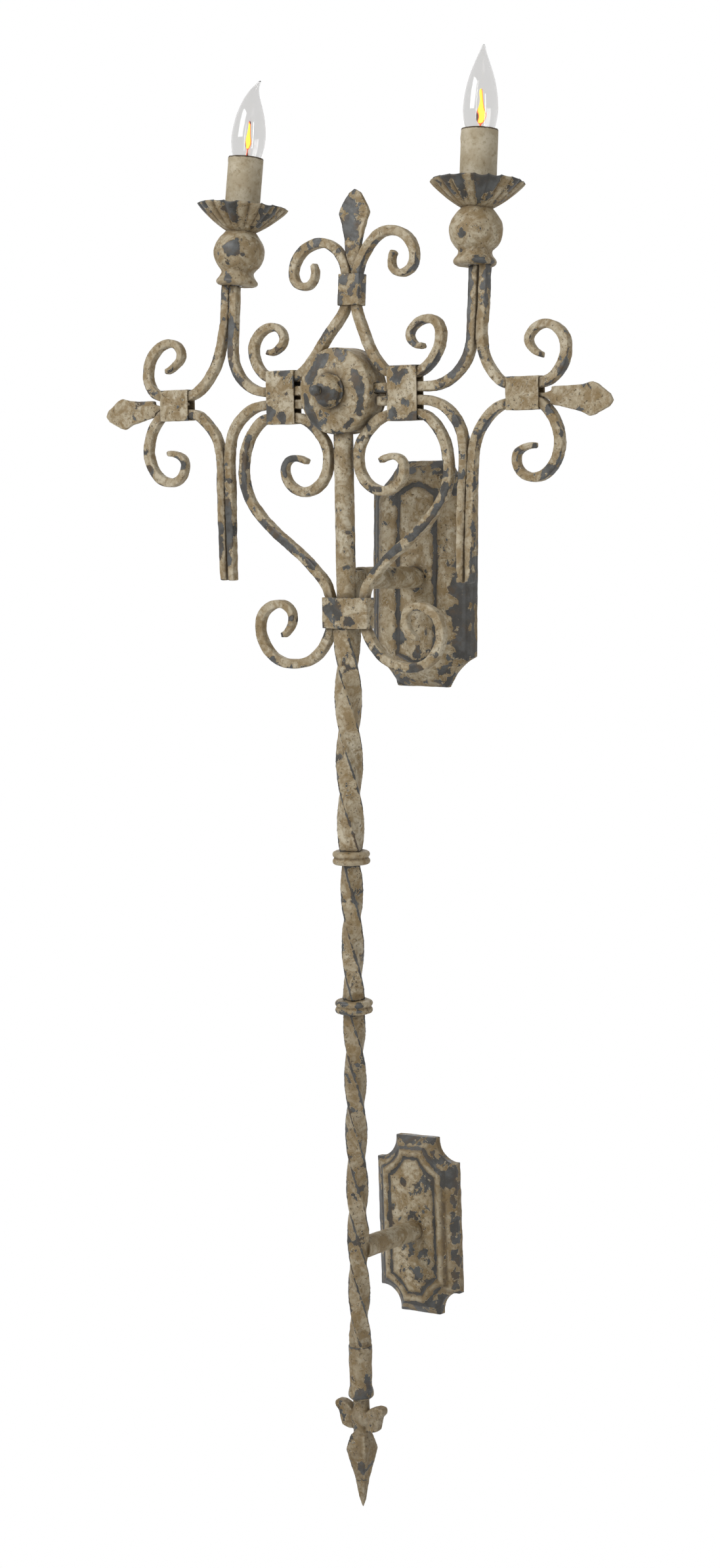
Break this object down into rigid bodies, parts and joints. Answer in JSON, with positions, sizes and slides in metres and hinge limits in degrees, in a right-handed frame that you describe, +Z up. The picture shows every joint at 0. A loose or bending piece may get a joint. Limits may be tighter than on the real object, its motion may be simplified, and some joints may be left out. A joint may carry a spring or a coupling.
{
  "type": "torch sconce",
  "caption": "Tall hand-forged wall sconce: scrolled iron head with candle arms, flame bulbs, a twisted shaft ending in a spear, and wall plates on standoffs.",
  "frame": {"origin": "centre of the wall bar's two-slot hole pattern, on the wall plane", "axes": "+Z up, +X to the viewer's right when facing the wall, +Y into the wall, so the front faces -Y"},
  "size_m": [0.5192, 0.1695, 1.2319],
  "materials": {
    "aged_cream_iron": "matt cream paint, chipped to slate grey iron, brown glaze in the hollows",
    "aged_cream_pan": "matt cream paint on fluted sheet, worn to slate grey along the flutes and rim",
    "candle_sleeve": "matt dirty cream with a brown rim",
    "zinc_hardware": "dull zinc",
    "socket_body": "moulded",
    "bulb_glass": "clear, thin",
    "bulb_cap": "rolled screw cap",
    "flame_plate": "glowing orange over dark metal",
    "lead_insulation": "insulated lead"
  },
  "bodies": {
    "sconce": {"twist_upper": "aged_cream_iron", "twist_middle": "aged_cream_iron", "twist_lower": "aged_cream_iron", "collar_upper": "aged_cream_iron", "collar_lower": "aged_cream_iron", "ferrule": "aged_cream_iron", "spear": "aged_cream_iron", "spear_leaves": "aged_cream_iron", "finial_top": "aged_cream_iron", "finial_left": "aged_cream_iron", "finial_right": "aged_cream_iron", "top_strap": "aged_cream_iron", "bottom_band": "aged_cream_iron", "rosette_cover": "aged_cream_iron", "standoff_lug": "aged_cream_iron", "upper_standoff": "aged_cream_iron", "lower_standoff": "aged_cream_iron", "upper_plate": "aged_cream_iron", "lower_plate": "aged_cream_iron", "shaft_pipe": "aged_cream_iron", "heart_bar_left": "aged_cream_iron", "fleur_bar_left": "aged_cream_iron", "arm_inner_left": "aged_cream_iron", "arm_outer_left": "aged_cream_iron", "drop_inner_left": "aged_cream_iron", "drop_outer_left": "aged_cream_iron", "inner_strap_left": "aged_cream_iron", "side_strap_left": "aged_cream_iron", "candle_cup_left": "aged_cream_iron", "bobeche_left": "aged_cream_pan", "nipple_left": "zinc_hardware", "socket_left": "socket_body", "heart_bar_right": "aged_cream_iron", "fleur_bar_right": "aged_cream_iron", "arm_inner_right": "aged_cream_iron", "arm_outer_right": "aged_cream_iron", "drop_inner_right": "aged_cream_iron", "drop_outer_right": "aged_cream_iron", "inner_strap_right": "aged_cream_iron", "side_strap_right": "aged_cream_iron", "candle_cup_right": "aged_cream_iron", "bobeche_right": "aged_cream_pan", "nipple_right": "zinc_hardware", "socket_right": "socket_body", "rosette_back": "zinc_hardware", "rosette_stud": "zinc_hardware", "candle_nuts": "zinc_hardware", "wall_bar": "zinc_hardware", "plate_fixings": "zinc_hardware", "arm_leads": "lead_insulation", "supply_lead": "lead_insulation"},
    "bulb_left": {"bulb_glass_left": "bulb_glass", "bulb_cap_left": "bulb_cap", "flame_left": "flame_plate"},
    "sleeve_left": {"sleeve_left": "candle_sleeve"},
    "bulb_right": {"bulb_glass_right": "bulb_glass", "bulb_cap_right": "bulb_cap", "flame_right": "flame_plate"},
    "sleeve_right": {"sleeve_right": "candle_sleeve"},
    "rosette_knob": {"rosette_knob": "aged_cream_iron"}
  },
  "joints": [
    {"name": "bulb_left_out", "type": "slide", "parent": "sconce", "child": "bulb_left", "axis": [0.061, 0.0505, 0.9969], "range_m": [0, 0.11]},
    {"name": "sleeve_left_off", "type": "slide", "parent": "sconce", "child": "sleeve_left", "axis": [0.061, 0.0505, 0.9969], "range_m": [0, 0.066]},
    {"name": "bulb_right_out", "type": "slide", "parent": "sconce", "child": "bulb_right", "axis": [0.0035, 0.0506, 0.9987], "range_m": [0, 0.11]},
    {"name": "sleeve_right_off", "type": "slide", "parent": "sconce", "child": "sleeve_right", "axis": [0.0035, 0.0506, 0.9987], "range_m": [0, 0.066]},
    {"name": "knob_turn", "type": "hinge", "parent": "sconce", "child": "rosette_knob", "pos_m": [0, -0.14493, 0.15121], "axis": [0, -0.9993, -0.0366], "continuous": true}
  ],
  "couplings": [
    {"joint": "sleeve_left_off", "follows": "bulb_left_out", "ratio": 0.6},
    {"joint": "sleeve_right_off", "follows": "bulb_right_out", "ratio": 0.6}
  ]
}
